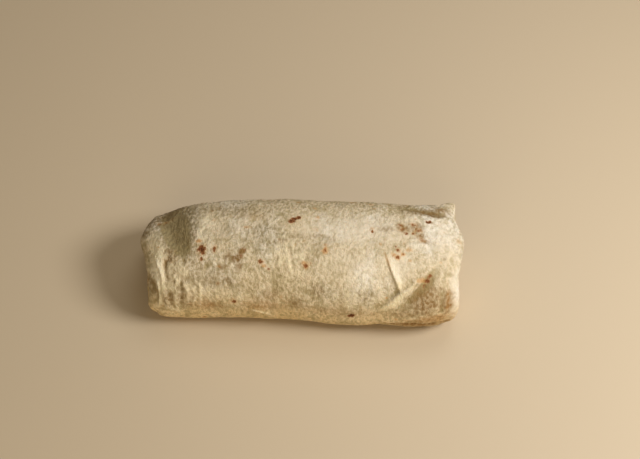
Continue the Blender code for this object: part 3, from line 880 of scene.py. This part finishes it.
PAINTED_LIGHT_FULL = 0.8                 # from this value of the painted light mask on, a place is at its palest
PAINTED_LIGHT_PALENESS = 0.6             # how much paler the painted light makes the dough
PAINTED_LIGHT_DARKENING = 0.3            # share of the darker mottling that is left there
PAINTED_LIGHT_BUMP = 0.6                 # share of the bump that is left there
LOW_FRONT_WARM_SHADE = 0.6                  # how strong the painted warm shade on the lower band of the front is
BUMP_DISTANCE = 0.75 * MM
GRAIN_BUMP = 0.35               # how much the grain counts in the bump, beside the crinkles
ROUGHNESS = (0.62, 0.82)        # lowest and highest
SKIN_SETTINGS = {
    "Specular IOR Level": 0.25,
    "Subsurface Weight": 0.08,
    "Subsurface Radius": (1.0, 0.55, 0.28),
    "Subsurface Scale": 1.5 * MM,
}


def skin_colour(nodes, painted_light, crinkle, grain):
    """The colour of the dough, before its patches and marks, with painted warm shade on the lower
    front, painted shade in the valleys of the relief, painted highlight on its crests and painted light
    where the light falls.
    """
    crest = nodes.mask("crest")
    darker = nodes.ramp(painted_light, 0.0, PAINTED_LIGHT_FULL, 1.0, PAINTED_LIGHT_DARKENING)
    broad, cloud = nodes.texture(*BROAD), nodes.texture(*CLOUD)
    broadly = nodes.ramp(broad, 0.38, 0.66, 0.0, 0.5)
    # the paler tone: at random, with the painted light added
    paleness = nodes.math("ADD", broadly, nodes.math("MULTIPLY", painted_light, PAINTED_LIGHT_PALENESS))
    colour = nodes.mix(nodes.ramp(paleness, 0.0, 1.0), CREAM, PALE_AND_LIT)
    # painted warm shade on the lower band of the front
    warm_shade = nodes.math("MULTIPLY", nodes.mask("low_front_shade"), LOW_FRONT_WARM_SHADE)
    colour = nodes.mix(warm_shade, colour, WARM_SHADE_GOLD)
    # the darker mottling, and in the last row the painted shade in the valleys of the relief: where
    # each cover starts, where it is full and how much it covers
    for source, start, end, most in (
            (cloud, 0.46, 0.68, 0.55),
            (crinkle, 0.58, 0.34, 0.52),
            (grain, 0.50, 0.28, 0.45),
            (crest, 0.52, 0.12, 0.85)):
        cover = nodes.math("MULTIPLY", nodes.ramp(source, start, end, 0.0, most), darker)
        colour = nodes.mix(cover, colour, OLIVE)
    # painted highlight on the crests of the relief, paler still where the painted light falls
    top = nodes.ramp(crest, 0.55, 0.95, 0.0, 0.8)
    return nodes.mix(top, colour, nodes.mix(painted_light, CREST_HIGHLIGHT, PALE_AND_LIT))


def tortilla_material():
    """The skin: its colour with painted light and shade, its patches and toasted marks, its gloss and
    its bump.
    """
    nodes = Nodes("toasted_tortilla_skin")
    painted_light = nodes.mask("painted_light")
    crinkle, grain = nodes.texture(*CRINKLE), nodes.texture(*GRAIN)
    colour = skin_colour(nodes, painted_light, crinkle, grain)
    # the patches, with the painted shade and the brown that also paints shade in some creases: each
    # mask is made uneven by a texture, between two shares of it
    for name, source, start, end, low_share, high_share, paint in (
            ("painted_shade", crinkle, 0.62, 0.38, 0.30, 1.0, PAINTED_SHADE_COLOUR),
            ("tan_and_shade", crinkle, 0.66, 0.34, 0.50, 1.0, TAN_AND_SHADE),
            ("amber", grain, 0.3, 0.6, 0.5, 0.9, AMBER)):
        uneven = nodes.ramp(source, start, end, low_share, high_share)
        colour = nodes.mix(nodes.math("MULTIPLY", nodes.mask(name), uneven), colour, paint)
    toast = nodes.math("MULTIPLY", nodes.mask("toast"), nodes.ramp(grain, 0.34, 0.60, 0.55, 1.25))
    colour = nodes.mix(nodes.ramp(toast, 0.12, 0.55), colour, BROWN)
    colour = nodes.mix(nodes.ramp(toast, 0.65, 1.1), colour, BLACK_BROWN)
    nodes.link(colour, nodes.shader.inputs["Base Color"])

    nodes.link(nodes.ramp(crinkle, 0.3, 0.7, *ROUGHNESS), nodes.shader.inputs["Roughness"])
    for name, value in SKIN_SETTINGS.items():
        nodes.shader.inputs[name].default_value = value

    relief = nodes.math("ADD", crinkle, nodes.math("MULTIPLY", grain, GRAIN_BUMP))
    bump = nodes.add("ShaderNodeBump", Distance=BUMP_DISTANCE)
    nodes.link(nodes.ramp(painted_light, 0.0, PAINTED_LIGHT_FULL, 1.0, PAINTED_LIGHT_BUMP), bump.inputs["Strength"])
    nodes.link(relief, bump.inputs["Height"])
    nodes.link(bump.outputs["Normal"], nodes.shader.inputs["Normal"])
    return nodes.material


# ---------------------------------------------------------------- stage
FLOOR_COLOUR = (0.56, 0.455, 0.315)
FLOOR_ROUGHNESS = 0.6
FLOOR_HALF_SIZE = 4.0           # metres
ROOM_COLOUR = (1.0, 0.82, 0.60)
ROOM_STRENGTH = 0.16

# Lights: name, azimuth and elevation (degrees), distance and size (metres), power (watts), colour
LIGHTS = (
    ("key", 78, 44, 0.85, 0.34, 6.3, (1.0, 0.99, 0.985)),
    ("top", 150, 62, 1.3, 0.7, 2.6, (1.0, 0.965, 0.91)),
    ("fill", -6, 24, 1.5, 1.2, 7.9, (1.0, 0.87, 0.635)),
)

# The camera, at the angle of the photograph
CAMERA_LENS = 82.3              # millimetres
CAMERA_SENSOR = 36.0            # millimetres
CAMERA_AZIMUTH = 2.0            # degrees
CAMERA_ELEVATION = 54.0
CAMERA_DISTANCE = 0.90          # metres
AIM_RIGHT = 10.5 * MM           # the camera aims that far from the middle of the roll,
AIM_BACK = 25.8 * MM            # as the photo shows it low and to the left
AIM_HEIGHT = 20 * MM


def floor_material():
    nodes = Nodes("pale_floor")
    nodes.feed(nodes.shader.inputs["Base Color"], FLOOR_COLOUR)
    nodes.feed(nodes.shader.inputs["Roughness"], FLOOR_ROUGHNESS)
    return nodes.material


def make_floor():
    edit = bmesh.new()
    bmesh.ops.create_grid(edit, x_segments=2, y_segments=2, size=FLOOR_HALF_SIZE)
    mesh = bpy.data.meshes.new("floor")
    edit.to_mesh(mesh)
    edit.free()
    floor = bpy.data.objects.new("floor", mesh)
    floor.location = (0.0, 0.0, low.z)
    mesh.materials.append(floor_material())
    bpy.context.scene.collection.objects.link(floor)


def aim(thing, target):
    """Turn a light or the camera so that it looks at the target."""
    direction = Vector(target) - thing.location
    thing.rotation_euler = direction.to_track_quat("-Z", "Y").to_euler()


def place(azimuth, elevation, distance, target):
    """A point seen from target at that azimuth (0 is the front) and elevation."""
    turn, rise = math.radians(azimuth), math.radians(elevation)
    level = math.cos(rise)
    away = Vector((math.sin(turn) * level, -math.cos(turn) * level, math.sin(rise)))
    return Vector(target) + away * distance


def add_light(name, azimuth, elevation, distance, size, power, colour):
    data = bpy.data.lights.new(name, "AREA")
    data.shape = "DISK"
    data.size = size
    data.energy = power
    data.color = colour
    light = bpy.data.objects.new(name, data)
    light.location = place(azimuth, elevation, distance, MIDDLE)
    aim(light, MIDDLE)
    bpy.context.scene.collection.objects.link(light)


def light_scene():
    for settings in LIGHTS:
        add_light(*settings)
    world = bpy.data.worlds.new("room")
    world.use_nodes = True
    background = world.node_tree.nodes["Background"]
    background.inputs["Color"].default_value = (*ROOM_COLOUR, 1.0)
    background.inputs["Strength"].default_value = ROOM_STRENGTH
    bpy.context.scene.world = world
    bpy.context.scene.view_settings.view_transform = "Standard"


def add_camera():
    data = bpy.data.cameras.new("camera")
    data.sensor_width = CAMERA_SENSOR
    data.lens = CAMERA_LENS
    data.dof.use_dof = False
    camera = bpy.data.objects.new("camera", data)
    target = (MIDDLE.x + AIM_RIGHT, MIDDLE.y + AIM_BACK, AIM_HEIGHT)
    camera.location = place(CAMERA_AZIMUTH, CAMERA_ELEVATION, CAMERA_DISTANCE, target)
    aim(camera, target)
    bpy.context.scene.collection.objects.link(camera)
    bpy.context.scene.camera = camera


tortilla = build_tortilla()
tortilla.data.materials.append(tortilla_material())
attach(tortilla, "root")
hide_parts(NODE)
make_floor()
light_scene()
add_camera()
